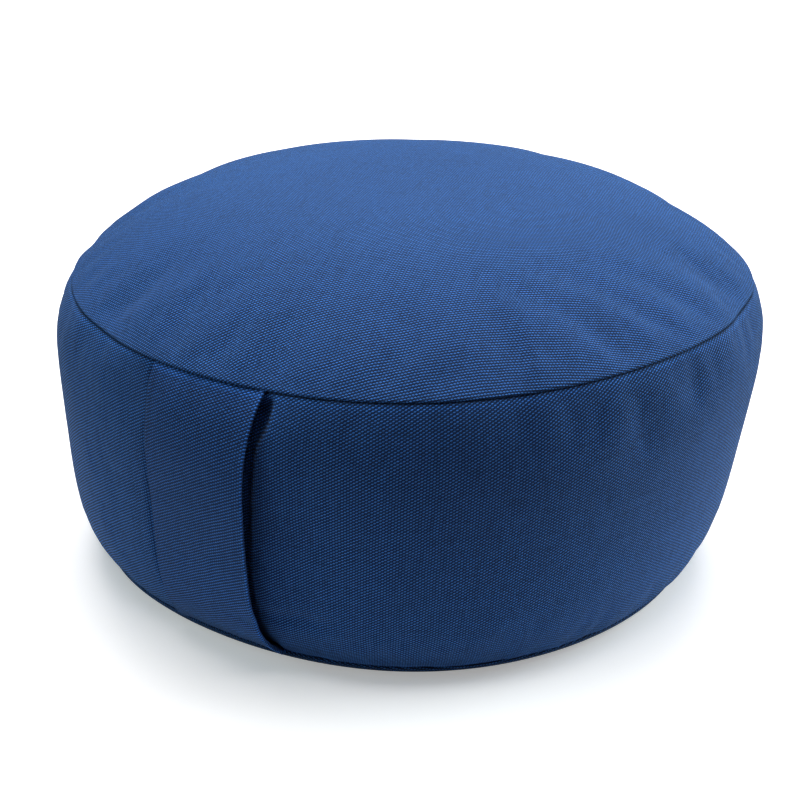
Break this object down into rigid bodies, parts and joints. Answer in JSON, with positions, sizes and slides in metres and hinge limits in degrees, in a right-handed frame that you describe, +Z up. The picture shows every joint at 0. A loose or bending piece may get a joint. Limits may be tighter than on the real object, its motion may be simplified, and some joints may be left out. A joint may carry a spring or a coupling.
{
  "type": "zafu meditation cushion",
  "caption": "Round filled meditation cushion in navy canvas with a domed top, bulged side band, sewn-in seams and an upright carry handle on its side.",
  "frame": {"origin": "on the cushion's axis, on the floor, in the middle of the flat underside", "axes": "+Z up, the carry handle on the -Y side"},
  "size_m": [0.3485, 0.3497, 0.187],
  "materials": {
    "cover_canvas": "matt navy plain-weave cotton canvas",
    "handle_canvas": "matt navy plain-weave cotton canvas, doubled, with folded edges"
  },
  "bodies": {
    "root": {"cushion_body": "cover_canvas", "carry_handle": "handle_canvas"}
  },
  "joints": []
}
